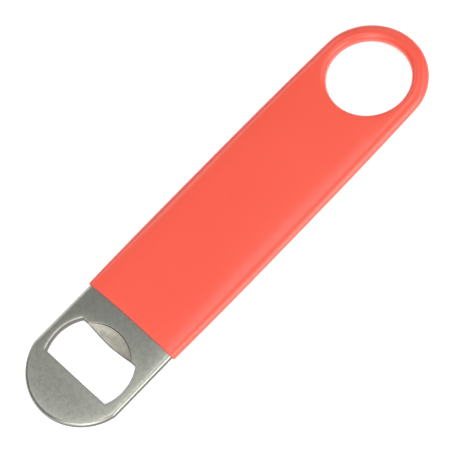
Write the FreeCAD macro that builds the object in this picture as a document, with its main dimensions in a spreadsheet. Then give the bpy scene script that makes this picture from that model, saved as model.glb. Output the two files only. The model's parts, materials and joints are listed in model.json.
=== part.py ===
import FreeCAD, Part
import math
import os
import Sketcher

# A flat-bar bottle opener that lies flat: a steel blade with a soft coat over its handle.
# X runs along the bar, from the opener's tip at -X to the hanging ring at +X, and Z is up.
# The origin is under the middle of the bar, on the surface that the opener lies on.

DIMENSIONS = {
    # whole opener
    "overall_length": 178.0,
    "coat_thickness": 0.9,
    # steel blade
    "plate_thickness": 3.0,
    "plate_width": 39.0,
    "tip_radius": 20.2,
    "tail_radius": 19.6,
    "outline_blend": 5.0,
    "edge_radius": 1.3,
    # cap window, and the lip that bulges into it
    "window_start": 15.6,
    "window_length": 15.85,
    "window_side_radius": 15.75,
    "window_side_centre": 22.2,
    "window_corner_radius": 0.8,
    "window_edge_radius": 0.35,
    "lip_bulge": 0.85,
    # crescent recess over the lip, pressed slightly off the bar's middle line
    "recess_centre": 21.35,
    "recess_offset": -0.4,
    "recess_radius": 14.5,
    "recess_step": 0.5,
    "recess_depth": 1.4,
    "recess_inner_radius": 8.6,
    "recess_sweep": 110.0,
    # hanging ring
    "ring_radius": 20.4,
    "ring_hole_radius": 14.73,
    "ring_hole_rounding": 1.6,
    # vinyl sleeve
    "head_length": 41.3,
    "mouth_width": 40.6,
    "sleeve_width": 41.7,
    "sleeve_widest_at": 98.0,
    "sleeve_outline_blend": 12.0,
    "sleeve_edge_radius": 2.2,
    "mouth_edge_radius": 0.35,
}

# points of a sketch's geometry, and its fixed references
START, END, CENTRE = 1, 2, 3
ORIGIN = (-1, START)
X_AXIS = -1

# lengths closer than this are the same, and an edge this near to an opening belongs to it
SAME = 1e-6
NEARBY = 1.0

doc = FreeCAD.newDocument("bottle_opener")
sheet = doc.addObject("Spreadsheet::Sheet", "dims")
for row, (alias, value) in enumerate(DIMENSIONS.items(), start=1):
    sheet.set(f"A{row}", alias)
    sheet.set(f"B{row}", str(value))
    sheet.setAlias(f"B{row}", alias)
doc.recompute()


def dim(alias):
    """Value of one driving dimension, in millimetres or degrees."""
    return float(sheet.get(alias))


def vec(x, y, z=0.0):
    return FreeCAD.Vector(x, y, z)


def origin_plane(body, role):
    return next(f for f in body.Origin.OriginFeatures if f.Role == role)


def new_sketch(body, name, role="XY_Plane"):
    sketch = body.newObject("Sketcher::SketchObject", name)
    sketch.AttachmentSupport = (origin_plane(body, role), [""])
    sketch.MapMode = "FlatFace"
    return sketch


def line(sketch, start, end):
    return sketch.addGeometry(Part.LineSegment(vec(*start), vec(*end)), False)


def arc(sketch, centre, start, end):
    """Arc from start to end, counter-clockwise about centre."""
    circle = Part.Circle(vec(*centre), vec(0, 0, 1), math.dist(centre, start))
    first = math.atan2(start[1] - centre[1], start[0] - centre[0])
    last = math.atan2(end[1] - centre[1], end[0] - centre[0])
    if last <= first:
        last += 2 * math.pi
    return sketch.addGeometry(Part.ArcOfCircle(circle, first, last), False)


def join(sketch, pairs):
    """Make each pair of (geometry, point) ends meet."""
    for (first, first_end), (second, second_end) in pairs:
        sketch.addConstraint(Sketcher.Constraint("Coincident", first, first_end, second, second_end))


def bind(sketch, name, kind, *refs, value, to):
    """Add a dimension, name it, and let the spreadsheet drive it."""
    index = sketch.addConstraint(Sketcher.Constraint(kind, *refs, value))
    sketch.renameConstraint(index, name)
    sketch.setExpression(f"Constraints.{name}", to)


def place_x(sketch, name, geometry, point, value, to):
    bind(sketch, name, "DistanceX", *ORIGIN, geometry, point, value=value, to=to)


def place_y(sketch, name, geometry, point, value, to):
    bind(sketch, name, "DistanceY", *ORIGIN, geometry, point, value=value, to=to)


def on_x_axis(sketch, geometry, point):
    sketch.addConstraint(Sketcher.Constraint("PointOnObject", geometry, point, X_AXIS))


def edges_where(shape, test):
    """Names of the edges for which test(edge) holds."""
    return [f"Edge{i}" for i, edge in enumerate(shape.Edges, start=1) if test(edge)]


def is_vertical(edge):
    ends = edge.Vertexes
    if len(ends) != 2:
        return False
    run = ends[1].Point - ends[0].Point
    return math.hypot(run.x, run.y) < SAME < abs(run.z)


def is_level(edge, height):
    box = edge.BoundBox
    return abs(box.ZMin - height) < SAME and abs(box.ZMax - height) < SAME


def distance_from(edge, centre_x):
    """Distance, seen from above, of the edge's middle from a point on the X axis."""
    first, last = edge.ParameterRange
    middle = edge.valueAt((first + last) / 2)
    return math.hypot(middle.x - centre_x, middle.y)


def pad(body, sketch, name, thickness):
    feature = body.newObject("PartDesign::Pad", name)
    feature.Profile = sketch
    feature.setExpression("Length", thickness)
    doc.recompute()


def cut_through(body, sketch, name):
    """Pocket right through, upwards from the sketch on the body's underside."""
    before = body.Shape.Volume
    feature = body.newObject("PartDesign::Pocket", name)
    feature.Profile = sketch
    feature.Type = "ThroughAll"
    feature.Reversed = True
    doc.recompute()
    if body.Shape.Volume >= before:
        raise RuntimeError(f"{name} cuts nothing")


def fillet(body, name, edges, radius):
    if not edges:
        raise RuntimeError(f"{name} has no edges")
    base = body.Tip
    feature = body.newObject("PartDesign::Fillet", name)
    feature.Base = (base, edges)
    feature.setExpression("Radius", radius)
    doc.recompute()


# Places along the bar, worked out from the driving dimensions
tip_x = -dim("overall_length") / 2
tail_x = dim("overall_length") / 2
ring_x = tail_x - dim("ring_radius")
window_start_x = tip_x + dim("window_start")
window_end_x = window_start_x + dim("window_length")
window_centre_x = tip_x + dim("window_side_centre")
recess_x = tip_x + dim("recess_centre")
mouth_x = tip_x + dim("head_length")
widest_x = tip_x + dim("sleeve_widest_at")
half_plate = dim("plate_width") / 2

TIP_X = "-dims.overall_length / 2"
RING_X = "dims.overall_length / 2 - dims.ring_radius"


# ---------------------------------------------------------------- blade
def blade_outline(body):
    """Straight sides closed by two arcs that meet them at a slight corner."""
    sketch = new_sketch(body, "blade_outline")
    tip_centre = tip_x + dim("tip_radius")
    tip_join = tip_centre - math.sqrt(dim("tip_radius") ** 2 - half_plate**2)
    tail_join = ring_x + math.sqrt(dim("tail_radius") ** 2 - half_plate**2)
    tail = arc(sketch, (ring_x, 0), (tail_join, -half_plate), (tail_join, half_plate))
    far_side = line(sketch, (tail_join, half_plate), (tip_join, half_plate))
    tip = arc(sketch, (tip_centre, 0), (tip_join, half_plate), (tip_join, -half_plate))
    near_side = line(sketch, (tip_join, -half_plate), (tail_join, -half_plate))
    corners = ((tail, far_side), (far_side, tip), (tip, near_side), (near_side, tail))
    join(sketch, [((a, END), (b, START)) for a, b in corners])
    for side in (far_side, near_side):
        sketch.addConstraint(Sketcher.Constraint("Horizontal", side))
    for end in (tail, tip):
        on_x_axis(sketch, end, CENTRE)
    place_x(sketch, "tail_centre", tail, CENTRE, ring_x, RING_X)
    place_x(sketch, "tip_centre", tip, CENTRE, tip_centre, f"{TIP_X} + dims.tip_radius")
    bind(sketch, "tail_radius", "Radius", tail, value=dim("tail_radius"), to="dims.tail_radius")
    bind(sketch, "tip_radius", "Radius", tip, value=dim("tip_radius"), to="dims.tip_radius")
    place_y(sketch, "far_side", far_side, START, half_plate, "dims.plate_width / 2")
    place_y(sketch, "near_side", near_side, START, -half_plate, "-dims.plate_width / 2")
    return sketch


def window_outline(body):
    """Cap window: round sides, a straight tip edge, and a handle edge with the lip's bulge."""
    sketch = new_sketch(body, "window_outline")
    side = dim("window_side_radius")
    bulge = dim("lip_bulge")
    lip_middle = dim("recess_offset")
    far_y = math.sqrt(side**2 - (window_start_x - window_centre_x) ** 2)
    handle_y = math.sqrt(side**2 - (window_end_x - window_centre_x) ** 2)
    lip_y = math.sqrt(dim("recess_radius") ** 2 - (window_end_x - recess_x) ** 2)
    lip_radius = (lip_y**2 + bulge**2) / (2 * bulge)
    lip_centre = window_end_x - bulge + lip_radius
    centre = (window_centre_x, 0)

    far_arc = arc(sketch, centre, (window_end_x, handle_y), (window_start_x, far_y))
    tip_edge = line(sketch, (window_start_x, far_y), (window_start_x, -far_y))
    near_arc = arc(sketch, centre, (window_start_x, -far_y), (window_end_x, -handle_y))
    lip_start = (window_end_x, lip_middle + lip_y)
    lip_end = (window_end_x, lip_middle - lip_y)
    near_stub = line(sketch, (window_end_x, -handle_y), lip_end)
    lip = arc(sketch, (lip_centre, lip_middle), lip_start, lip_end)
    far_stub = line(sketch, lip_start, (window_end_x, handle_y))
    join(sketch, [
        ((far_arc, END), (tip_edge, START)),
        ((tip_edge, END), (near_arc, START)),
        ((near_arc, END), (near_stub, START)),
        ((near_stub, END), (lip, END)),
        ((lip, START), (far_stub, START)),
        ((far_stub, END), (far_arc, START)),
    ])
    for edge in (tip_edge, near_stub, far_stub):
        sketch.addConstraint(Sketcher.Constraint("Vertical", edge))
    on_x_axis(sketch, far_arc, CENTRE)
    sketch.addConstraint(Sketcher.Constraint("Equal", far_arc, near_arc))
    sketch.addConstraint(Sketcher.Constraint("Coincident", far_arc, CENTRE, near_arc, CENTRE))
    start = f"{TIP_X} + dims.window_start"
    end = f"{start} + dims.window_length"
    lip_square = (
        "(dims.recess_radius ^ 2"
        " - (dims.window_start + dims.window_length - dims.recess_centre) ^ 2)"
    )
    lip_expression = f"({lip_square} + dims.lip_bulge ^ 2) / (2 * dims.lip_bulge)"
    place_x(sketch, "side_centre", far_arc, CENTRE, window_centre_x,
            f"{TIP_X} + dims.window_side_centre")
    place_x(sketch, "tip_edge", tip_edge, START, window_start_x, start)
    place_x(sketch, "near_handle_edge", near_stub, START, window_end_x, end)
    place_x(sketch, "far_handle_edge", far_stub, START, window_end_x, end)
    place_y(sketch, "lip_middle", lip, CENTRE, lip_middle, "dims.recess_offset")
    place_y(sketch, "lip_start", far_stub, START, lip_middle + lip_y,
            f"dims.recess_offset + sqrt({lip_square})")
    bind(sketch, "side_radius", "Radius", far_arc, value=side, to="dims.window_side_radius")
    bind(sketch, "lip_radius", "Radius", lip, value=lip_radius, to=lip_expression)
    return sketch


def recess_profile(body):
    """Section of the coined recess: a short step at the rim, then a dished floor.

    The sketch stands upright on the recess's centre, so its X is the radius from that centre.
    """
    sketch = new_sketch(body, "recess_profile", "XZ_Plane")
    # the sketch's own Z runs along -Y
    place = vec(recess_x, 0, -dim("recess_offset"))
    sketch.AttachmentOffset = FreeCAD.Placement(place, FreeCAD.Rotation())
    sketch.setExpression("AttachmentOffset.Base.x", f"{TIP_X} + dims.recess_centre")
    sketch.setExpression("AttachmentOffset.Base.z", "-dims.recess_offset")
    rim_r = dim("recess_radius")
    inner_r = dim("recess_inner_radius")
    top = dim("plate_thickness")
    above = top + dim("recess_depth")
    step_z = top - dim("recess_step")
    floor_z = top - dim("recess_depth")
    rise = step_z - floor_z
    dish_radius = ((rim_r - inner_r) ** 2 + rise**2) / (2 * rise)

    dish = arc(sketch, (inner_r, floor_z + dish_radius), (inner_r, floor_z), (rim_r, step_z))
    rim = line(sketch, (rim_r, step_z), (rim_r, above))
    lid = line(sketch, (rim_r, above), (inner_r, above))
    inner = line(sketch, (inner_r, above), (inner_r, floor_z))
    loop = (dish, rim, lid, inner)
    join(sketch, [((a, END), (b, START)) for a, b in zip(loop, loop[1:] + loop[:1])])
    sketch.addConstraint(Sketcher.Constraint("Vertical", rim))
    sketch.addConstraint(Sketcher.Constraint("Horizontal", lid))
    sketch.addConstraint(Sketcher.Constraint("Vertical", inner))
    place_x(sketch, "rim_radius", rim, START, rim_r, "dims.recess_radius")
    place_x(sketch, "inner_radius", inner, END, inner_r, "dims.recess_inner_radius")
    place_x(sketch, "dish_centre", dish, CENTRE, inner_r, "dims.recess_inner_radius")
    place_y(sketch, "step", rim, START, step_z, "dims.plate_thickness - dims.recess_step")
    place_y(sketch, "floor", inner, END, floor_z, "dims.plate_thickness - dims.recess_depth")
    place_y(sketch, "above", lid, START, above, "dims.plate_thickness + dims.recess_depth")
    return sketch


def coin_recess(body):
    """Turn the recess section about its centre, over the lip only."""
    before = body.Shape.Volume
    sketch = recess_profile(body)
    feature = body.newObject("PartDesign::Groove", "recess")
    feature.Profile = sketch
    feature.ReferenceAxis = (sketch, ["V_Axis"])
    feature.Midplane = True
    feature.setExpression("Angle", "dims.recess_sweep")
    doc.recompute()
    if body.Shape.Volume >= before:
        raise RuntimeError("the recess cuts nothing")


def hole_sketch(body, name, radius, expression):
    sketch = new_sketch(body, name)
    hole = sketch.addGeometry(Part.Circle(vec(ring_x, 0), vec(0, 0, 1), radius), False)
    on_x_axis(sketch, hole, CENTRE)
    place_x(sketch, "centre", hole, CENTRE, ring_x, RING_X)
    bind(sketch, "radius", "Radius", hole, value=radius, to=expression)
    return sketch


def build_blade():
    body = doc.addObject("PartDesign::Body", "blade")
    body.Label = "blade"
    underside = 0.0
    top = dim("plate_thickness")
    window_radius = dim("window_side_radius")

    def on_rim(edge):
        return is_level(edge, underside) or is_level(edge, top)

    def around_window(edge):
        return on_rim(edge) and distance_from(edge, window_centre_x) < window_radius + NEARBY

    def at_window_corner(edge):
        off_radius = distance_from(edge, window_centre_x) - window_radius
        return is_vertical(edge) and abs(off_radius) < SAME

    pad(body, blade_outline(body), "plate", "dims.plate_thickness")
    fillet(body, "outline_blends", edges_where(body.Shape, is_vertical), "dims.outline_blend")
    fillet(body, "outline_edges", edges_where(body.Shape, on_rim), "dims.edge_radius")
    cut_through(body, window_outline(body), "window")
    fillet(body, "window_corners", edges_where(body.Shape, at_window_corner),
           "dims.window_corner_radius")
    fillet(body, "window_edges", edges_where(body.Shape, around_window), "dims.window_edge_radius")
    cut_through(body, hole_sketch(body, "hanging_hole_outline",
                                  dim("ring_hole_radius") + dim("coat_thickness"),
                                  "dims.ring_hole_radius + dims.coat_thickness"), "hanging_hole")
    coin_recess(body)
    body.setExpression("Placement.Base.z", "dims.coat_thickness")
    doc.recompute()
    return body


# ---------------------------------------------------------------- sleeve
def sleeve_outline(body):
    """A straight mouth, slightly bowed sides, and the round ring end."""
    sketch = new_sketch(body, "sleeve_outline")
    half_mouth = dim("mouth_width") / 2
    half_wide = dim("sleeve_width") / 2
    bow = half_wide - half_mouth
    side_radius = ((widest_x - mouth_x) ** 2 + bow**2) / (2 * bow)
    side_centre = half_wide - side_radius
    join_x, join_y = ring_meets_side(side_radius, side_centre)

    mouth = line(sketch, (mouth_x, half_mouth), (mouth_x, -half_mouth))
    near = arc(sketch, (widest_x, -side_centre), (mouth_x, -half_mouth), (join_x, -join_y))
    ring = arc(sketch, (ring_x, 0), (join_x, -join_y), (join_x, join_y))
    far = arc(sketch, (widest_x, side_centre), (join_x, join_y), (mouth_x, half_mouth))
    loop = (mouth, near, ring, far)
    join(sketch, [((a, END), (b, START)) for a, b in zip(loop, loop[1:] + loop[:1])])
    sketch.addConstraint(Sketcher.Constraint("Vertical", mouth))
    on_x_axis(sketch, ring, CENTRE)
    place_x(sketch, "mouth", mouth, START, mouth_x, f"{TIP_X} + dims.head_length")
    place_x(sketch, "ring_centre", ring, CENTRE, ring_x, RING_X)
    place_y(sketch, "far_corner", mouth, START, half_mouth, "dims.mouth_width / 2")
    place_y(sketch, "near_corner", mouth, END, -half_mouth, "-dims.mouth_width / 2")
    bind(sketch, "ring_radius", "Radius", ring, value=dim("ring_radius"), to="dims.ring_radius")
    bow_expression = "(dims.sleeve_width - dims.mouth_width) / 2"
    run_expression = "(dims.sleeve_widest_at - dims.head_length)"
    side_expression = f"(({run_expression}) ^ 2 + ({bow_expression}) ^ 2) / (2 * ({bow_expression}))"
    for name, side in (("far", far), ("near", near)):
        place_x(sketch, f"{name}_widest", side, CENTRE, widest_x,
                f"{TIP_X} + dims.sleeve_widest_at")
        bind(sketch, f"{name}_bow", "Radius", side, value=side_radius, to=side_expression)
    return sketch


def ring_meets_side(side_radius, side_centre):
    """Point where the far side's bow crosses the ring's circle, on the side's half."""
    ring_radius = dim("ring_radius")
    span = math.dist((widest_x, side_centre), (ring_x, 0))
    along = (side_radius**2 - ring_radius**2 + span**2) / (2 * span)
    off = math.sqrt(side_radius**2 - along**2)
    step_x = (ring_x - widest_x) / span
    step_y = -side_centre / span
    return widest_x + along * step_x + off * step_y, side_centre + along * step_y - off * step_x


def build_sleeve(blade):
    body = doc.addObject("PartDesign::Body", "sleeve_form")
    height = "dims.plate_thickness + 2 * dims.coat_thickness"
    underside = 0.0
    top = dim("plate_thickness") + 2 * dim("coat_thickness")

    def on_rim(edge):
        return is_level(edge, underside) or is_level(edge, top)

    def at_ring_corner(edge):
        return is_vertical(edge) and edge.Vertexes[0].Point.x > ring_x

    def on_side(edge):
        return on_rim(edge) and edge.BoundBox.XMax > mouth_x + NEARBY

    def around_hole(edge):
        return on_rim(edge) and distance_from(edge, ring_x) < dim("ring_hole_radius") + NEARBY

    def at_mouth(edge):
        return edge.BoundBox.XMax < mouth_x + SAME

    pad(body, sleeve_outline(body), "coat", height)
    fillet(body, "ring_blends", edges_where(body.Shape, at_ring_corner),
           "dims.sleeve_outline_blend")
    fillet(body, "shoulders", edges_where(body.Shape, on_side), "dims.sleeve_edge_radius")
    cut_through(body, hole_sketch(body, "ring_hole_outline", dim("ring_hole_radius"),
                                  "dims.ring_hole_radius"), "ring_hole")
    fillet(body, "ring_hole_edges", edges_where(body.Shape, around_hole),
           "dims.ring_hole_rounding")
    fillet(body, "mouth_edges", edges_where(body.Shape, at_mouth), "dims.mouth_edge_radius")

    sleeve = doc.addObject("Part::Cut", "grip_sleeve")
    sleeve.Label = "grip_sleeve"
    sleeve.Base = body
    sleeve.Tool = blade
    doc.recompute()
    return sleeve


def check_document():
    for item in doc.Objects:
        if "Invalid" in item.State or "Error" in item.State:
            raise RuntimeError(f"{item.Name} failed: {item.State}")
        if item.TypeId == "Sketcher::SketchObject" and not item.FullyConstrained:
            raise RuntimeError(f"{item.Name} isn't fully constrained")


def export(parts):
    os.makedirs("parts", exist_ok=True)
    for part in parts:
        shape = part.Shape
        if shape.isNull() or not shape.isValid():
            raise RuntimeError(f"{part.Label} has no valid shape")
        if len(shape.Solids) != 1:
            raise RuntimeError(f"{part.Label} has {len(shape.Solids)} solids")
        shape.exportStep(f"parts/{part.Label}.step")
        print(f"{part.Label}: {shape.Volume / 1000:.2f} cm3, {len(shape.Faces)} faces")


blade = build_blade()
grip_sleeve = build_sleeve(blade)
doc.recompute()
check_document()
export([blade, grip_sleeve])
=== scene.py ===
import json
import math

import bmesh
import bpy
from mathutils import Matrix, Vector
from mathutils.geometry import delaunay_2d_cdt
from mathutils.kdtree import KDTree


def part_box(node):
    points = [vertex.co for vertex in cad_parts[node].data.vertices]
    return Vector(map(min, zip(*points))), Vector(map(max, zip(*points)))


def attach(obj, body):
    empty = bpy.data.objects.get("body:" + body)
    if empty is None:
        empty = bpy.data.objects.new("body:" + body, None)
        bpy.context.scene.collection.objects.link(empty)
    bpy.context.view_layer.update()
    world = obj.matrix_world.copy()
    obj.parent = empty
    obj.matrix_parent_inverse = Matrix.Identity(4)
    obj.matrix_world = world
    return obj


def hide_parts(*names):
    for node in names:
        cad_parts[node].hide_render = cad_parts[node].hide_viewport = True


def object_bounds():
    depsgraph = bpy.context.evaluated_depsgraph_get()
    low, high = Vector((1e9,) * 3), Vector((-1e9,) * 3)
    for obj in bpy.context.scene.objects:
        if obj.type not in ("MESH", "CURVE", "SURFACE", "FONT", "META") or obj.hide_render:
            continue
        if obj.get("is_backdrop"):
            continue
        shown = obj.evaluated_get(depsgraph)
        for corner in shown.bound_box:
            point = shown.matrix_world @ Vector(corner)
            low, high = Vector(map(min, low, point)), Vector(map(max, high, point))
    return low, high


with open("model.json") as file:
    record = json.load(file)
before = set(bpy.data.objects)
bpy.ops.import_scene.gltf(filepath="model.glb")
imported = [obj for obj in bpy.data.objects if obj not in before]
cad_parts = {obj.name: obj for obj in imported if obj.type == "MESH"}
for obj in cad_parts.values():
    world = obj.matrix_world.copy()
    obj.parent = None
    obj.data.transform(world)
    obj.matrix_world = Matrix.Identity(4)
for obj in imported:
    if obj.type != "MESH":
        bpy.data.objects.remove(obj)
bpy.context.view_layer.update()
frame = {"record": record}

# Meshes are worked out in millimetres in the row frame, and scaled to metres when they are made.
MM = 0.001


def millimetres(vector):
    return [value / MM for value in vector]


# ---------------------------------------------------------------- sizes taken from the frame
record = frame["record"]
mounts = {mount["name"]: mount for mount in record["mounts"]}
(blade_lo, blade_hi) = [millimetres(corner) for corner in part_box("blade")]
(grip_lo, grip_hi) = [millimetres(corner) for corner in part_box("grip_sleeve")]

TIP_X = blade_lo[0]
PLATE_LOW, PLATE_HIGH = blade_lo[2], blade_hi[2]
PLATE_HALF = (blade_hi[1] - blade_lo[1]) / 2
COAT_HIGH = grip_hi[2]
MIDDLE_Z = COAT_HIGH / 2
MOUTH_X = grip_lo[0]
TAIL_X = grip_hi[0]
RING_X = millimetres(mounts["hanging_hole"]["pos_m"])[0]
RING_HOLE = mounts["hanging_hole"]["dims"]["r_mm"]
RING_OUTER = TAIL_X - RING_X

# ---------------------------------------------------------------- sizes of the visible detail
TIP_RADIUS = 20.2
TAIL_RADIUS = blade_hi[0] - RING_X
PLATE_HOLE = RING_HOLE + (COAT_HIGH - PLATE_HIGH)
OUTLINE_BLEND = 5.0
PLATE_ROUNDING = 1.3
# how far the edges fell away in blanking and tumbling, how far in that reaches, and the wear there
EDGE_FALL = 0.16
EDGE_FALL_REACH = 3.5
WINDOW_FALL = 0.03
WINDOW_FALL_REACH = 0.9
WEAR_REACH = 1.8

WINDOW_START = TIP_X + 15.6
WINDOW_END = WINDOW_START + 15.85
WINDOW_CENTRE = TIP_X + 22.2
WINDOW_RADIUS = 15.75
WINDOW_CORNER = 0.8
WINDOW_ROUNDING = 0.45
LIP_BULGE = 0.85

RECESS_X = TIP_X + 21.35
RECESS_Y = -0.4
RECESS_RADIUS = 14.5
RECESS_DEPTH = 1.4
RECESS_INNER = 8.6
# the recess's rim in section: distance outside the rim's radius, and depth below the plate
RIM_SECTION = ((0.22, 0.0), (0.12, 0.012), (0.05, 0.05), (0.0, 0.13), (-0.03, 0.28),
               (-0.07, 0.40), (-0.15, 0.47))

# spacing of the blade's mesh: rows that follow the edges, then a grid, coarse under the coat
EDGE_ROWS = (0.3, 0.7, 1.2, 1.8, 2.5, 3.3)
HEAD_GRID = 1.0
COVERED_GRID = 3.0


# ---------------------------------------------------------------- plane geometry
def arc_points(centre, radius, start, end, spacing):
    """Points along an arc from angle start to angle end, in radians, both ends included."""
    steps = max(2, math.ceil(abs(end - start) * radius / spacing))
    angles = [start + (end - start) * i / steps for i in range(steps + 1)]
    return [(centre[0] + radius * math.cos(a), centre[1] + radius * math.sin(a)) for a in angles]


def line_points(start, end, spacing):
    steps = max(1, math.ceil(math.dist(start, end) / spacing))
    return [
        (start[0] + (end[0] - start[0]) * i / steps, start[1] + (end[1] - start[1]) * i / steps)
        for i in range(steps + 1)
    ]


def chain(*runs):
    """One list of points from runs that follow each other, with no point twice."""
    points = []
    for run in runs:
        for point in run:
            if not points or math.dist(points[-1], point) > 1e-4:
                points.append(point)
    return points


def close(points):
    if math.dist(points[0], points[-1]) < 1e-4:
        return points[:-1]
    return points


def normals_of(points, closed=True):
    """Unit normals on the right of the direction of travel: outward, on an anticlockwise loop."""
    count = len(points)
    normals = []
    for i in range(count):
        before = points[(i - 1) % count] if closed or i else points[i]
        after = points[(i + 1) % count] if closed or i < count - 1 else points[i]
        dx, dy = after[0] - before[0], after[1] - before[1]
        length = math.hypot(dx, dy)
        normals.append((dy / length, -dx / length))
    return normals


def offset(points, normals, distance):
    """The points moved by distance against their normals."""
    return [(x - nx * distance, y - ny * distance) for (x, y), (nx, ny) in zip(points, normals)]


def inside(point, loop):
    """True if the point lies inside the closed loop."""
    x, y = point
    result = False
    for (x0, y0), (x1, y1) in zip(loop, loop[1:] + loop[:1]):
        if (y0 > y) != (y1 > y) and x < x0 + (y - y0) * (x1 - x0) / (y1 - y0):
            result = not result
    return result


def smooth_min(a, b, width):
    overlap = max(width - abs(a - b), 0.0) / width
    return min(a, b) - overlap * overlap * width / 4


# ---------------------------------------------------------------- mesh building
class Shell:
    """Vertices in millimetres and faces with a material number, gathered into one mesh."""

    def __init__(self):
        self.vertices = []
        self.faces = []
        self.materials = []

    def add(self, points, heights):
        """New vertices over plane points. Returns their numbers."""
        first = len(self.vertices)
        self.vertices += [(x, y, z) for (x, y), z in zip(points, heights)]
        return list(range(first, len(self.vertices)))

    def face(self, corners, material=0):
        self.faces.append(tuple(corners))
        self.materials.append(material)

    def band(self, one, other, closed=True, material=0):
        """Quads between two rows of vertices of the same length."""
        count = len(one)
        for i in range(count if closed else count - 1):
            j = (i + 1) % count
            self.face((one[i], one[j], other[j], other[i]), material)

    def plane(self, numbers):
        return [self.vertices[n][:2] for n in numbers]

    def sheet(self, border, holes, lines, grid, height, material=lambda x, y: 0):
        """Fill the border, less the holes, with faces through the given lines and grid points.

        border and holes are rows of existing vertices. height gives z for the new points.
        """
        numbers = list(border)
        for hole in holes:
            numbers += hole
        flat = self.plane(numbers)
        edges = []
        first = 0
        for loop in (border, *holes):
            count = len(loop)
            edges += [(first + i, first + (i + 1) % count) for i in range(count)]
            first += count
        for run in lines:
            edges += [(len(flat) + i, len(flat) + i + 1) for i in range(len(run) - 1)]
            flat += run
        flat += well_spaced(flat, grid)
        new = flat[len(numbers):]
        numbers += self.add(new, [height(x, y) for x, y in new])

        result = delaunay_2d_cdt([Vector(p) for p in flat], edges, [], 0, 1e-5, True)
        outline = self.plane(border)
        hole_outlines = [self.plane(hole) for hole in holes]
        places, faces, origins = result[0], result[2], result[3]
        for corners in faces:
            centre = tuple(sum(places[c][k] for c in corners) / len(corners) for k in (0, 1))
            if not inside(centre, outline) or any(inside(centre, h) for h in hole_outlines):
                continue
            self.face([numbers[origins[c][0]] for c in corners], material(*centre))

    def build(self, name, materials, wear=None):
        """The finished object: most triangle pairs as quads, normals outward.

        wear(x, y) gives the worn share of the surface, 0 to 1, for the material to read.
        """
        mesh = bmesh.new()
        corners = [mesh.verts.new([value * MM for value in v]) for v in self.vertices]
        for face, material in zip(self.faces, self.materials):
            mesh.faces.new([corners[i] for i in face]).material_index = material
        loose = [v for v in mesh.verts if not v.link_faces]
        bmesh.ops.delete(mesh, geom=loose, context="VERTS")
        bmesh.ops.join_triangles(mesh, faces=mesh.faces[:], cmp_materials=True,
                                 angle_face_threshold=math.radians(4),
                                 angle_shape_threshold=math.radians(50))
        bmesh.ops.recalc_face_normals(mesh, faces=mesh.faces[:])
        for face in mesh.faces:
            face.smooth = True
        data = bpy.data.meshes.new(name)
        mesh.to_mesh(data)
        mesh.free()
        for material in materials:
            data.materials.append(material)
        if wear:
            shares = data.attributes.new("wear", "FLOAT", "POINT")
            for vertex, share in zip(data.vertices, shares.data):
                share.value = wear(vertex.co.x / MM, vertex.co.y / MM)
        piece = bpy.data.objects.new(name, data)
        bpy.context.collection.objects.link(piece)
        return piece


def well_spaced(taken, candidates):
    """The candidates (x, y, room) that have their room clear of taken points and each other."""
    size = 0.5
    cells = {}
    for x, y in taken:
        cells.setdefault((round(x / size), round(y / size)), []).append((x, y))
    kept = []
    for x, y, room in candidates:
        reach = math.ceil(room / size)
        column, row = round(x / size), round(y / size)
        near = (
            point
            for i in range(column - reach, column + reach + 1)
            for j in range(row - reach, row + reach + 1)
            for point in cells.get((i, j), ())
        )
        if all(math.dist((x, y), point) > room for point in near):
            cells.setdefault((column, row), []).append((x, y))
            kept.append((x, y))
    return kept


def grid_points(x_range, y_range, spacing, keep):
    """Square grid points for which keep(x, y) holds, each with the room that it needs."""
    columns = int((x_range[1] - x_range[0]) / spacing)
    rows = int((y_range[1] - y_range[0]) / spacing)
    points = []
    for i in range(columns + 1):
        for j in range(rows + 1):
            x = x_range[0] + i * spacing
            y = y_range[0] + (j + 0.5) * spacing
            if keep(x, y):
                points.append((x, y, spacing * 0.55))
    return points


def rounding(radius, steps):
    """A quarter-round edge as (inset, drop) pairs, from the flat face to the side."""
    turns = [math.pi / 2 * i / steps for i in range(steps + 1)]
    return [(radius * (1 - math.sin(t)), radius * (1 - math.cos(t))) for t in turns]


# ---------------------------------------------------------------- blade
# the third finish is cut steel, darkened further as painted shade along the edges
TUMBLED, COINED, SHEARED_SHADED = 0, 1, 2


def blade_outline():
    """The bar's outline, anticlockwise: straight sides, and two arcs with blended corners."""
    blend = OUTLINE_BLEND
    blend_y = PLATE_HALF - blend
    tip_x = TIP_X + TIP_RADIUS
    tip_shift = math.sqrt((TIP_RADIUS - blend) ** 2 - blend_y**2)
    tail_shift = math.sqrt((TAIL_RADIUS - blend) ** 2 - blend_y**2)
    tip_turn = math.atan2(blend_y, -tip_shift)
    tail_turn = math.atan2(blend_y, tail_shift)
    tip_blend = tip_x - tip_shift
    tail_blend = RING_X + tail_shift
    quarter = math.pi / 2
    side, fine = 1.5, 0.7
    return close(chain(
        arc_points((tail_blend, -blend_y), blend, -quarter, -tail_turn, fine),
        arc_points((RING_X, 0), TAIL_RADIUS, -tail_turn, tail_turn, side),
        arc_points((tail_blend, blend_y), blend, tail_turn, quarter, fine),
        line_points((tail_blend, PLATE_HALF), (tip_blend, PLATE_HALF), side),
        arc_points((tip_blend, blend_y), blend, quarter, tip_turn, fine),
        arc_points((tip_x, 0), TIP_RADIUS, tip_turn, 2 * math.pi - tip_turn, fine),
        arc_points((tip_blend, -blend_y), blend, 2 * math.pi - tip_turn, 3 * quarter, fine),
        line_points((tip_blend, -PLATE_HALF), (tail_blend, -PLATE_HALF), side),
    ))


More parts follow.
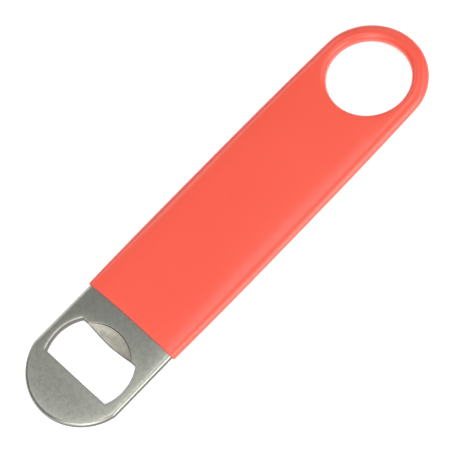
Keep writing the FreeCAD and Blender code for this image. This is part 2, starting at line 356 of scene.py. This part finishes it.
def window_outline():
    """The cap window's outline, clockwise, so that the steel is on the left."""
    corner = WINDOW_CORNER
    inner = WINDOW_RADIUS - corner
    tip_corner = WINDOW_START + corner
    handle_corner = WINDOW_END - corner
    tip_y = math.sqrt(inner**2 - (tip_corner - WINDOW_CENTRE) ** 2)
    handle_y = math.sqrt(inner**2 - (handle_corner - WINDOW_CENTRE) ** 2)
    tip_turn = math.atan2(tip_y, tip_corner - WINDOW_CENTRE)
    handle_turn = math.atan2(handle_y, handle_corner - WINDOW_CENTRE)
    lip_y = math.sqrt(RECESS_RADIUS**2 - (WINDOW_END - RECESS_X) ** 2)
    half = math.pi
    fine, dense = 0.5, 0.12
    lip_start, lip_end = (WINDOW_END, RECESS_Y + lip_y), (WINDOW_END, RECESS_Y - lip_y)
    lip = [(x - lip_bulge(y), y) for x, y in line_points(lip_start, lip_end, dense)]
    return close(chain(
        line_points((WINDOW_START, -tip_y), (WINDOW_START, tip_y), fine),
        arc_points((tip_corner, tip_y), corner, half, tip_turn, dense),
        arc_points((WINDOW_CENTRE, 0), WINDOW_RADIUS, tip_turn, handle_turn, fine),
        arc_points((handle_corner, handle_y), corner, handle_turn, 0, dense),
        line_points((WINDOW_END, handle_y), lip_start, dense),
        lip,
        line_points(lip_end, (WINDOW_END, -handle_y), dense),
        arc_points((handle_corner, -handle_y), corner, 0, -handle_turn, dense),
        arc_points((WINDOW_CENTRE, 0), WINDOW_RADIUS, -handle_turn, -tip_turn, fine),
        arc_points((tip_corner, -tip_y), corner, -tip_turn, -half, dense),
    ))


def lip_bulge(y):
    """How far the lip's front stands into the window: metal that the coining pushed out."""
    reach = math.sqrt(RECESS_RADIUS**2 - (WINDOW_END - RECESS_X) ** 2)
    along = min(abs(y - RECESS_Y) / reach, 1.0)
    return LIP_BULGE * (1 - along**1.4)


def recess_depth(x, y):
    """Depth of the coined recess below the plate's top: a short steep rim, then a dished floor."""
    if x < WINDOW_END - 3:
        return 0.0
    out = math.hypot(x - RECESS_X, y - RECESS_Y) - RECESS_RADIUS
    if out >= RIM_SECTION[0][0]:
        return 0.0
    for (out0, depth0), (out1, depth1) in zip(RIM_SECTION, RIM_SECTION[1:]):
        if out >= out1:
            return depth0 + (depth1 - depth0) * (out0 - out) / (out0 - out1)
    foot, foot_depth = RIM_SECTION[-1]
    span = RECESS_INNER - RECESS_RADIUS - foot
    along = max(0.0, 1 - (out - foot) / span)
    return RECESS_DEPTH - (RECESS_DEPTH - foot_depth) * along * along


def tip_distance(x, y):
    """Distance in from the bar's outline, as far back as the sleeve's mouth."""
    side = PLATE_HALF - abs(y)
    centre = TIP_X + TIP_RADIUS
    return min(side, TIP_RADIUS - math.hypot(x - centre, y)) if x < centre else side


def window_distance(x, y):
    """Distance from the cap window's outline to a point of the steel, roughly at its corners."""
    ends = max(WINDOW_START - x, x - WINDOW_END)
    sides = math.hypot(x - WINDOW_CENTRE, y) - WINDOW_RADIUS
    return math.hypot(max(ends, 0.0), max(sides, 0.0)) if max(ends, sides) > 0 else 0.0


def wear_at(x, y):
    """How much tumbling and use brightened the steel: most round the window, less at the sides."""
    side = max(tip_distance(x, y) - PLATE_ROUNDING, 0.0)
    return max(0.4 * math.exp(-side / WEAR_REACH), math.exp(-window_distance(x, y) / WEAR_REACH))


def edge_fall(x, y):
    """How far the plate's top falls away towards the bar's sides and tip."""
    side = max(tip_distance(x, y) - PLATE_ROUNDING, 0.0)
    return EDGE_FALL * math.exp(-side / EDGE_FALL_REACH)


def plate_height(x, y):
    """Top of the plate: flat, with edges that fall away a little, and the recess."""
    fall = edge_fall(x, y) + WINDOW_FALL * math.exp(-window_distance(x, y) / WINDOW_FALL_REACH)
    return PLATE_HIGH - fall - recess_depth(x, y)


def in_recess(x, y):
    return recess_depth(x, y) > 0


def finish_at(x, y):
    """Number of the steel's finish on the top face: the recess, and the dark cut step at its rim,
    whose darkness is partly painted shade.
    """
    depth = recess_depth(x, y)
    if depth > RIM_SECTION[-1][1]:
        return COINED
    # painted shade: the rim's step gets the darkened cut-steel finish for the dark line along the
    # recess
    return SHEARED_SHADED if depth > RIM_SECTION[2][1] else TUMBLED


def build_blade(materials):
    shell = Shell()
    outline = blade_outline()
    outline_normals = normals_of(outline)
    window = window_outline()
    window_normals = normals_of(window)
    hole = close(arc_points((RING_X, 0), PLATE_HOLE, 2 * math.pi, 0, 1.5))
    hole_normals = normals_of(hole)

    def side(points, normals, radius, steps, top_height, sheared_shaded_from):
        """The rows of vertices down a rounded side, from the top face to the bottom face.

        The side gets the dark cut-steel material from this step of the rounding to the same step
        below: partly the cut wall's finish, partly painted shade standing in for the shaded floor
        that the edge reflects.
        """
        edge = rounding(radius, steps)
        top = offset(points, normals, radius)
        tops = [top_height(x, y) for x, y in top]
        rows = []
        for inset, drop in edge:
            rows.append(shell.add(offset(points, normals, inset), [z - drop for z in tops]))
        for inset, drop in reversed(edge):
            level = [PLATE_LOW + drop] * len(points)
            rows.append(shell.add(offset(points, normals, inset), level))
        last = len(rows) - 1
        for i, (upper, lower) in enumerate(zip(rows, rows[1:])):
            # painted shade: these darker bands stand in for the shaded floor the edge reflects, as
            # well as the cut finish
            shear_and_shade = sheared_shaded_from <= i < last - sheared_shaded_from
            shell.band(upper, lower, material=SHEARED_SHADED if shear_and_shade else TUMBLED)
        return rows

    # the darker cut-steel bands on the sides are partly painted shade
    outer = side(outline, outline_normals, PLATE_ROUNDING, 9, plate_height, 6)
    cap = side(window, window_normals, WINDOW_ROUNDING, 6, plate_height, 3)
    ring = side(hole, hole_normals, WINDOW_ROUNDING, 3, lambda x, y: PLATE_HIGH, 3)

    cap_top = shell.plane(cap[0])
    cap_tree = KDTree(len(cap_top))
    for i, (x, y) in enumerate(cap_top):
        cap_tree.insert((x, y, 0), i)
    cap_tree.balance()
    arcs = []
    floor_steps = [RIM_SECTION[-1][0] - 0.15 - 0.45 * i for i in range(10)]
    for out in [section[0] for section in RIM_SECTION] + floor_steps:
        reach = math.radians(50)
        points = arc_points((RECESS_X, RECESS_Y), RECESS_RADIUS + out, -reach, reach, 0.3)
        run = [
            p for p in points
            if not inside(p, cap_top) and cap_tree.find((p[0], p[1], 0))[2] > 0.1
        ]
        arcs.append(run)

    def on_plate(x, y):
        return not inside((x, y), cap_top) and not in_recess(x, y)

    across = (-PLATE_HALF, PLATE_HALF)
    head_end = MOUTH_X + 2
    head = grid_points((TIP_X, head_end), across, HEAD_GRID, on_plate)
    tail = grid_points((head_end + 3, TAIL_X), across, COVERED_GRID, lambda x, y: True)
    border = shell.plane(outer[0])
    grid = [p for p in head + tail if inside(p[:2], border)]
    edges = []
    for inset in EDGE_ROWS:
        room = 0.28 + 0.12 * inset
        rows = offset(outline, outline_normals, PLATE_ROUNDING + inset)
        rows += offset(window, window_normals, WINDOW_ROUNDING + inset)
        edges += [(*p, room) for p in rows
                  if p[0] < head_end and on_plate(*p) and inside(p, border)]
    shell.sheet(outer[0], [cap[0], ring[0]], arcs, edges + grid, plate_height, finish_at)
    shell.sheet(outer[-1], [cap[-1], ring[-1]], [], grid, lambda x, y: PLATE_LOW)
    return shell.build("steel_blade", materials, wear_at)


# ---------------------------------------------------------------- vinyl sleeve
MOUTH_HALF = 20.3
WIDEST_HALF = grip_hi[1]
WIDEST_X = TIP_X + 98.0
BOW_POWER = 2.6
RING_JOIN = 0.35
# fall at the sleeve's edge: a gentle crown that fades inward, and a rounded shoulder for the rest
SLEEVE_FALL = COAT_HIGH / 2 - 0.32
SHOULDER_POWER = 1.8
CROWN_REACH = 2.1
# along the sleeve: x, the crown's share of the fall in mm, and how far in the shoulder reaches
STATIONS = ((MOUTH_X, 0.8, 1.9), (MOUTH_X + 40, 1.5, 2.15), (RING_X - 24, 1.0, 2.5),
            (RING_X - 8, 0.3, 3.4), (TAIL_X, 0.3, 3.4))
SHOULDER_ROWS = 3.6
HOLE_REACH = 1.7
HOLE_FALL = COAT_HIGH / 2 - 0.6
HOLE_CROWN_FALL = 0.10
HOLE_CROWN_REACH = 1.4
# mouth: the round rim, the coat's taper towards it, and the line's slight hollow
RIM = 0.35
MOUTH_TAPER = 0.10
MOUTH_TAPER_REACH = 1.2
MOUTH_HOLLOW = 0.3


def side_half(x):
    """Half the sleeve's width: the sides bow out a little between the mouth and the ring."""
    along = abs(x - WIDEST_X) / (WIDEST_X - MOUTH_X)
    return WIDEST_HALF - (WIDEST_HALF - MOUTH_HALF) * along**BOW_POWER


def ring_half(x):
    return math.sqrt(max(0.0, RING_OUTER**2 - (x - RING_X) ** 2))


def mouth_line(y):
    """X of the sleeve's mouth: slightly hollow, with a faint wave where the dip ended."""
    across = y / MOUTH_HALF
    wave = 0.04 * math.sin(2.3 * across + 0.6) + 0.025 * math.sin(7.1 * across)
    return MOUTH_X + MOUTH_HOLLOW * max(0.0, 1 - across * across) + 0.07 + wave


def sleeve_sides():
    """The sleeve's outline from the near corner of its mouth, round the ring, to the far corner."""
    start = mouth_line(MOUTH_HALF) + RIM
    turn_x = RING_X + 7.5
    turn = math.acos((turn_x - RING_X) / RING_OUTER)
    straight = line_points((start, 0), (RING_X - 4, 0), 2.0)
    bend = line_points((RING_X - 4, 0), (turn_x, 0), 0.6)
    xs = [x for x, _ in chain(straight, bend)]
    halves = [smooth_min(side_half(x), ring_half(x), RING_JOIN) if x > RING_X else side_half(x)
              for x in xs]
    near = [(x, -half) for x, half in zip(xs, halves)]
    far = [(x, half) for x, half in zip(reversed(xs), reversed(halves))]
    return chain(near, arc_points((RING_X, 0), RING_OUTER, -turn, turn, 0.9), far)


def distance_inside(x, y):
    """Distance in from the sleeve's outline."""
    side = side_half(min(x, RING_X + 6)) - abs(y)
    if x < RING_X:
        return side
    return min(side, RING_OUTER - math.hypot(x - RING_X, y))


def hole_distance(x, y):
    return math.hypot(x - RING_X, y) - RING_HOLE


def station(x):
    """The crown's fall and the shoulder's reach at x, eased between the stations."""
    x = max(STATIONS[0][0], min(STATIONS[-1][0], x))
    for (x0, *first), (x1, *second) in zip(STATIONS, STATIONS[1:]):
        if x <= x1:
            along = (x - x0) / (x1 - x0)
            share = along * along * (3 - 2 * along)
            return [a + (b - a) * share for a, b in zip(first, second)]


def crown(distance, fall, reach):
    return fall * math.exp(-max(distance, 0.0) / reach)


def shoulder(distance, reach, fall, power):
    """Drop of a rounded edge at a distance in from it."""
    along = min(1.0, max(0.0, 1 - distance / reach))
    return fall * (1 - (1 - along**power) ** (1 / power))


def sleeve_drop(x, y, outer=None, hole=None):
    """Drop of the sleeve's surface below its highest level."""
    outer = distance_inside(x, y) if outer is None else outer
    hole = hole_distance(x, y) if hole is None else hole
    taper = MOUTH_TAPER * math.exp(-(x - MOUTH_X) / MOUTH_TAPER_REACH)
    crown_fall, reach = station(x)
    return (
        shoulder(outer, reach, SLEEVE_FALL - crown_fall, SHOULDER_POWER)
        + crown(outer, crown_fall, CROWN_REACH)
        + shoulder(hole, HOLE_REACH, HOLE_FALL, SHOULDER_POWER)
        + crown(hole, HOLE_CROWN_FALL, HOLE_CROWN_REACH)
        + taper
    )


def edge_insets(reach, steps, power):
    """Distances in from an edge, closely spaced where the shoulder is steep."""
    turns = [math.pi / 2 * i / steps for i in range(steps + 1)]
    return [reach * (1 - math.sin(t) ** (2 / power)) for t in turns]


def blade_section_point(y, z):
    """Nearest point on the blade's cross-section to a point outside it, both as (y, z)."""
    core_y = PLATE_HALF - PLATE_ROUNDING
    core_z = (PLATE_HIGH - PLATE_LOW) / 2 - PLATE_ROUNDING
    up = z - MIDDLE_Z
    near_y = max(-core_y, min(core_y, y))
    near_z = max(-core_z, min(core_z, up))
    dy, dz = y - near_y, up - near_z
    length = math.hypot(dy, dz)
    scale = PLATE_ROUNDING / length
    near_y, near_z = near_y + dy * scale, near_z + dz * scale
    fall = edge_fall(MOUTH_X, near_y) * max(near_z, 0.0) / (PLATE_HIGH - MIDDLE_Z)
    return near_y, MIDDLE_Z + near_z - fall


def build_sleeve(blade, materials):
    shell = Shell()
    sides = sleeve_sides()
    side_normals = normals_of(sides, closed=False)
    side_normals[0] = (0.0, -1.0)
    side_normals[-1] = (0.0, 1.0)
    hole = close(arc_points((RING_X, 0), RING_HOLE, 2 * math.pi, 0, 0.8))
    hole_normals = normals_of(hole)
    insets = edge_insets(SHOULDER_ROWS, 18, SHOULDER_POWER)
    hole_insets = edge_insets(HOLE_REACH, 10, SHOULDER_POWER)

    def rows(points, normals, steps, of_hole, bottom):
        """Rows of vertices from the inner end of the shoulder out to the upright side."""
        made = []
        for inset in steps:
            places = offset(points, normals, inset)
            given = {"hole": inset} if of_hole else {"outer": inset}
            drops = [sleeve_drop(x, y, **given) for x, y in places]
            made.append(shell.add(places, [d if bottom else COAT_HIGH - d for d in drops]))
        for one, other in zip(made, made[1:]):
            shell.band(one, other, closed=of_hole)
        return made

    points = []
    for inset in (4.0, 4.5, 5.1, 5.9, 6.9, 8.1):
        clear = HOLE_REACH + 0.3
        points += [(*p, 0.45) for p in offset(sides, side_normals, inset)[1:-1]
                   if hole_distance(*p) > clear and distance_inside(*p) > inset - 0.1]
    for radius in (2.2, 2.8, 3.5, 4.3, 5.3):
        ring = arc_points((RING_X, 0), RING_HOLE + radius, 0, 2 * math.pi, 1.2)[1:]
        points += [(*p, 0.45) for p in ring if distance_inside(*p) > SHOULDER_ROWS + 0.3]
    points += grid_points((MOUTH_X + 1.5, TAIL_X), (-WIDEST_HALF, WIDEST_HALF), 1.6,
                          lambda x, y: distance_inside(x, y) > 3.9 and hole_distance(x, y) > 2)
    mouths = []
    levels = []
    for bottom in (False, True):
        side_rows = rows(sides, side_normals, insets, False, bottom)
        hole_rows = rows(hole, hole_normals, hole_insets, True, bottom)
        far_y = shell.vertices[side_rows[0][-1]][1]
        across = [y for _, y in line_points((0, far_y), (0, -far_y), 0.9)][1:-1]
        places = [(mouth_line(y) + RIM, y) for y in across]
        drops = [sleeve_drop(x, y) for x, y in places]
        mouth = shell.add(places, [d if bottom else COAT_HIGH - d for d in drops])
        shell.sheet(side_rows[0] + mouth, [hole_rows[0]], [], points,
                    lambda x, y, low=bottom: sleeve_drop(x, y) if low
                    else COAT_HIGH - sleeve_drop(x, y))
        near = [row[0] for row in reversed(side_rows)]
        far = [row[-1] for row in side_rows]
        mouths.append(near + mouth[::-1] + far)
        levels.append((side_rows[-1], hole_rows[-1]))
    (top_side, top_hole), (low_side, low_hole) = levels
    shell.band(top_side, low_side, closed=False)
    shell.band(top_hole, low_hole)

    section = mouths[0] + mouths[1][::-1]
    close_mouth(shell, section)
    sleeve = shell.build("vinyl_grip", materials)
    line_with_blade(sleeve, blade)
    return sleeve


def close_mouth(shell, section):
    """The round rim of the mouth, and its end face down to the steel."""
    corners = [shell.vertices[i] for i in section]
    outline = [(y, z) for _, y, z in corners]
    normals = normals_of(outline)
    middle_of_top = len(section) // 4
    if normals[middle_of_top][1] < 0:
        normals = [(-a, -b) for a, b in normals]
    previous = section
    steps = 5
    for step in range(1, steps + 1):
        turn = math.pi / 2 * step / steps
        inset = RIM * (1 - math.cos(turn))
        back = RIM * math.sin(turn)
        row = []
        for (x, y, z), (ny, nz) in zip(corners, normals):
            row.append(len(shell.vertices))
            shell.vertices.append((x - back, y - ny * inset, z - nz * inset))
        shell.band(previous, row)
        previous = row
    contact = []
    for i in previous:
        x, y, z = shell.vertices[i]
        contact.append(len(shell.vertices))
        shell.vertices.append((x + 0.06, *blade_section_point(y, z)))
    shell.band(previous, contact)


def line_with_blade(sleeve, blade):
    """Give the sleeve its inner face: the blade's own surface, from just inside the mouth."""
    inner = bmesh.new()
    inner.from_mesh(blade.data)
    bmesh.ops.bisect_plane(inner, geom=inner.verts[:] + inner.edges[:] + inner.faces[:],
                           dist=1e-7, plane_co=((MOUTH_X + 1.2) * MM, 0, 0), plane_no=(1, 0, 0),
                           clear_inner=True)
    for face in inner.faces:
        face.material_index = 0
    lining = bpy.data.meshes.new("lining")
    inner.to_mesh(lining)
    inner.free()
    mesh = bmesh.new()
    mesh.from_mesh(sleeve.data)
    mesh.from_mesh(lining)
    bpy.data.meshes.remove(lining)
    rims = [edge for edge in mesh.edges if edge.is_boundary]
    bmesh.ops.bridge_loops(mesh, edges=rims)
    bmesh.ops.recalc_face_normals(mesh, faces=mesh.faces[:])
    for face in mesh.faces:
        face.smooth = True
    mesh.to_mesh(sleeve.data)
    mesh.free()


# ---------------------------------------------------------------- materials
class Nodes:
    """A short way to write a node material. Textures use object coordinates in millimetres."""

    def __init__(self, name):
        self.material = bpy.data.materials.new(name)
        self.material.use_nodes = True
        self.tree = self.material.node_tree
        self.shader = self.tree.nodes["Principled BSDF"]
        place = self.tree.nodes.new("ShaderNodeTexCoord")
        self.place = self.vector("SCALE", place.outputs["Object"], scale=1 / MM)

    def vector(self, operation, first, second=None, scale=None):
        node = self.tree.nodes.new("ShaderNodeVectorMath")
        node.operation = operation
        self.feed(node.inputs[0], first)
        if second is not None:
            self.feed(node.inputs[1], second)
        if scale is not None:
            node.inputs["Scale"].default_value = scale
        return node.outputs["Vector"]

    def feed(self, socket, value):
        if isinstance(value, bpy.types.NodeSocket):
            self.tree.links.new(value, socket)
        else:
            socket.default_value = value

    def maths(self, operation, first, second=0.0, clamp=False):
        node = self.tree.nodes.new("ShaderNodeMath")
        node.operation = operation
        node.use_clamp = clamp
        self.feed(node.inputs[0], first)
        self.feed(node.inputs[1], second)
        return node.outputs["Value"]

    def noise(self, per_mm, detail=3.0, roughness=0.55, place=None, distortion=0.0):
        node = self.tree.nodes.new("ShaderNodeTexNoise")
        self.feed(node.inputs["Vector"], place if place is not None else self.place)
        node.inputs["Scale"].default_value = per_mm
        node.inputs["Detail"].default_value = detail
        node.inputs["Roughness"].default_value = roughness
        node.inputs["Distortion"].default_value = distortion
        return node.outputs["Fac"]

    def stretched(self, x, y, z):
        """Coordinates squeezed by these factors, so that a texture runs out along the small one."""
        return self.vector("MULTIPLY", self.place, (x, y, z))

    def span(self, value, low, high, to_low, to_high):
        node = self.tree.nodes.new("ShaderNodeMapRange")
        self.feed(node.inputs["Value"], value)
        for socket, number in zip(("From Min", "From Max", "To Min", "To Max"),
                                  (low, high, to_low, to_high)):
            node.inputs[socket].default_value = number
        return node.outputs["Result"]

    def ramp(self, value, stops):
        node = self.tree.nodes.new("ShaderNodeValToRGB")
        self.feed(node.inputs["Fac"], value)
        elements = node.color_ramp.elements
        while len(elements) < len(stops):
            elements.new(0.5)
        for element, (position, colour) in zip(elements, stops):
            element.position = position
            element.color = (*colour, 1)
        return node.outputs["Color"]

    def mix(self, amount, first, second, kind="MIX"):
        node = self.tree.nodes.new("ShaderNodeMix")
        node.data_type = "RGBA"
        node.blend_type = kind
        self.feed(node.inputs["Factor"], amount)
        self.feed(node.inputs["A"], first)
        self.feed(node.inputs["B"], second)
        return node.outputs["Result"]

    def bump(self, layers):
        """Chain of bumps from (height, depth in millimetres) pairs."""
        normal = None
        for height, depth in layers:
            node = self.tree.nodes.new("ShaderNodeBump")
            node.inputs["Distance"].default_value = depth * MM
            self.feed(node.inputs["Height"], height)
            if normal is not None:
                self.feed(node.inputs["Normal"], normal)
            normal = node.outputs["Normal"]
        self.feed(self.shader.inputs["Normal"], normal)

    def set(self, **values):
        for name, value in values.items():
            self.feed(self.shader.inputs[name.replace("_", " ")], value)


def tumbled_steel():
    """Stainless bar stock, tumbled to a soft satin with a fine mottle, and worn at its edges."""
    steel = Nodes("tumbled_steel")
    clouds = steel.noise(0.10, 2, 0.5)
    mottle = steel.noise(0.9, 3, 0.55, distortion=0.5)
    grain = steel.noise(2.6, 3, 0.6)
    dents = steel.noise(0.5, 1, 0.5)
    tone = steel.maths("ADD", steel.maths("MULTIPLY", mottle, 0.7),
                       steel.maths("MULTIPLY", grain, 0.3))
    colour = steel.ramp(tone, ((0.36, (0.285, 0.292, 0.259)), (0.5, (0.332, 0.339, 0.302)),
                               (0.64, (0.380, 0.387, 0.346))))
    worn = steel.ramp(tone, ((0.34, (0.42, 0.42, 0.37)), (0.66, (0.50, 0.50, 0.44))))
    wear = steel.tree.nodes.new("ShaderNodeAttribute")
    wear.attribute_name = "wear"
    steel.set(Base_Color=steel.mix(wear.outputs["Fac"], colour, worn), Metallic=1.0,
              Roughness=steel.span(tone, 0.3, 0.7, 0.33, 0.30))
    steel.bump(((clouds, 0.04), (dents, 0.014), (grain, 0.003)))
    return steel.material


def coined_steel():
    """The pressed recess: brighter than the bar, with fine marks running out from its centre, and a
    painted reflection: a darker band across its middle, where the dished floor reflects darker
    surroundings.
    """
    steel = Nodes("coined_steel")
    centred = steel.vector("SUBTRACT", steel.place, (RECESS_X, RECESS_Y, 0.0))
    parts = steel.tree.nodes.new("ShaderNodeSeparateXYZ")
    steel.feed(parts.inputs[0], centred)
    turn = steel.maths("ARCTAN2", parts.outputs["Y"], parts.outputs["X"])
    length = steel.tree.nodes.new("ShaderNodeVectorMath")
    length.operation = "LENGTH"
    steel.feed(length.inputs[0], centred)
    radius = steel.maths("MULTIPLY", length.outputs["Value"], 0.25)
    around = steel.tree.nodes.new("ShaderNodeCombineXYZ")
    steel.feed(around.inputs["X"], steel.maths("MULTIPLY", turn, RECESS_RADIUS))
    steel.feed(around.inputs["Y"], radius)
    marks = steel.noise(1.6, 4, 0.65, place=around.outputs["Vector"])
    clouds = steel.noise(0.5, 3, 0.5)
    tone = steel.maths("ADD", steel.maths("MULTIPLY", marks, 0.6),
                       steel.maths("MULTIPLY", clouds, 0.4))
    bright = steel.ramp(tone, ((0.36, (0.42, 0.40, 0.345)), (0.64, (0.58, 0.55, 0.47))))
    # painted reflection: this darker tone stands in for darker surroundings reflected in the middle
    # of the recess
    dark_band_tone = steel.ramp(tone, ((0.36, (0.29, 0.285, 0.245)), (0.64, (0.44, 0.43, 0.37))))
    wander = steel.maths("MULTIPLY", steel.maths("SUBTRACT", clouds, 0.5), 2.4)
    ring = steel.maths("ADD", length.outputs["Value"], wander)
    # painted reflection: mask of the darker band across the recess's middle
    painted_dark_band = steel.ramp(steel.span(ring, RECESS_INNER, RECESS_RADIUS, 0.0, 1.0),
                          ((0.30, (0, 0, 0)), (0.46, (0.8, 0.8, 0.8)), (0.64, (0.8, 0.8, 0.8)),
                           (0.82, (0, 0, 0))))
    steel.set(Base_Color=steel.mix(painted_dark_band, bright, dark_band_tone), Metallic=1.0,
              Roughness=steel.span(tone, 0.3, 0.7, 0.46, 0.36))
    steel.bump(((marks, 0.03), (clouds, 0.03)))
    return steel.material


def sheared_shaded_steel():
    """The walls that the press cut, drawn downwards in fine lines, and darker: partly the cut
    finish, partly painted shade for the shadowed floor that the edges reflect.
    """
    steel = Nodes("sheared_shaded_steel")
    drawn = steel.noise(1.0, 3, 0.6, place=steel.stretched(7.0, 7.0, 1.2))
    grain = steel.noise(5.0, 2, 0.5)
    tone = steel.maths("ADD", steel.maths("MULTIPLY", drawn, 0.5),
                       steel.maths("MULTIPLY", grain, 0.5))
    # painted shade: the dark base colour stands in for the shaded floor and surroundings the edges
    # reflect, as well as the cut finish
    colour = steel.ramp(tone, ((0.3, (0.125, 0.116, 0.103)), (0.7, (0.175, 0.165, 0.148))))
    steel.set(Base_Color=colour, Metallic=1.0, Roughness=steel.span(tone, 0.3, 0.7, 0.42, 0.34))
    steel.bump(((drawn, 0.003), (grain, 0.002)))
    return steel.material


def coral_vinyl():
    """Soft dip-moulded PVC: an even coral colour, a satin gloss, and a faint orange peel."""
    vinyl = Nodes("coral_vinyl")
    clouds = vinyl.noise(0.05, 2, 0.5)
    peel = vinyl.noise(0.45, 2, 0.5)
    pores = vinyl.noise(3.0, 2, 0.5)
    tone = vinyl.maths("ADD", vinyl.maths("MULTIPLY", clouds, 0.8),
                       vinyl.maths("MULTIPLY", pores, 0.2))
    colour = vinyl.ramp(tone, ((0.3, (0.755, 0.087, 0.055)), (0.7, (0.77, 0.092, 0.058))))
    vinyl.set(Base_Color=colour, Roughness=vinyl.span(peel, 0.3, 0.7, 0.23, 0.26),
              Sheen_Weight=0.12, Sheen_Roughness=0.35, Sheen_Tint=(1.0, 0.75, 0.65, 1.0))
    vinyl.bump(((clouds, 0.03), (peel, 0.0014), (pores, 0.0002)))
    return vinyl.material


# ---------------------------------------------------------------- the object
blade = build_blade([tumbled_steel(), coined_steel(), sheared_shaded_steel()])
grip = build_sleeve(blade, [coral_vinyl()])
for piece, node, slot in ((blade, "blade", "blade_steel"), (grip, "grip_sleeve", "grip_vinyl")):
    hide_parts(node)
    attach(piece, "root")


# ---------------------------------------------------------------- floor, light and camera
def pale_floor():
    """White paper on a softly lit table, so that it stays pale round the object."""
    paper = Nodes("floor_paper")
    fibres = paper.noise(0.4, 4, 0.6)
    colour = paper.ramp(fibres, ((0.3, (0.90, 0.90, 0.90)), (0.7, (0.92, 0.92, 0.92))))
    paper.set(Base_Color=colour, Roughness=0.9, Emission_Color=colour, Emission_Strength=0.40)
    paper.shader.inputs["Specular IOR Level"].default_value = 0.0
    return paper.material


def make_floor(half_size):
    mesh = bmesh.new()
    bmesh.ops.create_grid(mesh, x_segments=8, y_segments=8, size=half_size)
    data = bpy.data.meshes.new("floor")
    mesh.to_mesh(data)
    mesh.free()
    data.materials.append(pale_floor())
    floor = bpy.data.objects.new("floor", data)
    floor.location.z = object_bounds()[0].z - 0.0001
    bpy.context.collection.objects.link(floor)
    floor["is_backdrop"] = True


def soft_box(name, place, size, radiance):
    """A rectangular area light that faces the object, with its width along the bar."""
    light = bpy.data.lights.new(name, "AREA")
    light.shape = "RECTANGLE"
    light.size, light.size_y = size
    light.energy = radiance * math.pi * size[0] * size[1]
    lamp = bpy.data.objects.new(name, light)
    away = Vector(place).normalized()
    across = (Vector((1, 0, 0)) - away * away.x).normalized()
    turn = Matrix((across, away.cross(across), away)).transposed()
    lamp.matrix_world = Matrix.Translation(place) @ turn.to_4x4()
    lamp.visible_camera = False
    bpy.context.collection.objects.link(lamp)


def studio(horizon, zenith):
    """Grey surroundings that brighten evenly from the horizon to overhead."""
    world = bpy.data.worlds.new("studio")
    bpy.context.scene.world = world
    world.use_nodes = True
    tree = world.node_tree
    place = tree.nodes.new("ShaderNodeTexCoord")
    parts = tree.nodes.new("ShaderNodeSeparateXYZ")
    span = tree.nodes.new("ShaderNodeMapRange")
    span.inputs["To Min"].default_value = horizon
    span.inputs["To Max"].default_value = zenith
    tree.links.new(place.outputs["Generated"], parts.inputs[0])
    tree.links.new(parts.outputs["Z"], span.inputs["Value"])
    background = tree.nodes["Background"]
    background.inputs["Color"].default_value = (1, 1, 1, 1)
    tree.links.new(span.outputs["Result"], background.inputs["Strength"])


def make_camera(azimuth, elevation, roll, distance, target, lens):
    """Camera on a sphere about the target, turned by roll about its own line of sight."""
    camera = bpy.data.cameras.new("camera")
    camera.lens = lens
    camera.sensor_width = 36
    camera.clip_start, camera.clip_end = 0.05, 20
    holder = bpy.data.objects.new("camera", camera)
    turn, lift = math.radians(azimuth), math.radians(elevation)
    back = Vector((math.sin(turn) * math.cos(lift), -math.cos(turn) * math.cos(lift),
                   math.sin(lift)))
    aim = back.to_track_quat("Z", "Y").to_matrix() @ Matrix.Rotation(math.radians(roll), 3, "Z")
    holder.matrix_world = Matrix.Translation(Vector(target) + back * distance) @ aim.to_4x4()
    bpy.context.collection.objects.link(holder)
    bpy.context.scene.camera = holder
    return holder


# lights: name, place and size in metres, and radiance
SOFT_BOXES = (
    ("overhead", (0.10, 0.03, 0.5), (0.42, 0.19), 2.2),
    ("front", (-0.12, -0.10, 0.42), (0.2, 0.2), 2.1),
    ("tip", (-0.16, 0.12, 0.35), (0.2, 0.2), 1.1),
    ("mid_front", (0.25, -0.66, 0.66), (0.8, 0.3), 1.5),
    ("low_front", (0.3, -0.85, 0.5), (0.9, 0.4), 2.8),
    ("lower_front", (0.2, -0.9, 0.3), (0.9, 0.37), 2.85),
    ("left", (-0.75, -0.35, 0.55), (0.62, 0.8), 3.0),
    ("left_front", (-0.6, -0.6, 0.35), (0.5, 0.3), 2.5),
    ("right", (0.75, -0.35, 0.55), (0.5, 0.6), 1.6),
    ("low_back", (0.15, 0.85, 0.58), (0.7, 0.35), 2.4),
    ("right_back", (0.7, 0.5, 0.45), (0.4, 0.4), 1.0),
)

make_floor(half_size=1.5)
studio(horizon=0.18, zenith=0.18)
for soft_light in SOFT_BOXES:
    soft_box(*soft_light)
bpy.context.scene.view_settings.view_transform = "Standard"

make_camera(azimuth=-25.2, elevation=64.45, roll=-22.6, distance=0.5998,
            target=(-0.00255, 0.0, COAT_HIGH / 2 * MM), lens=144.07)
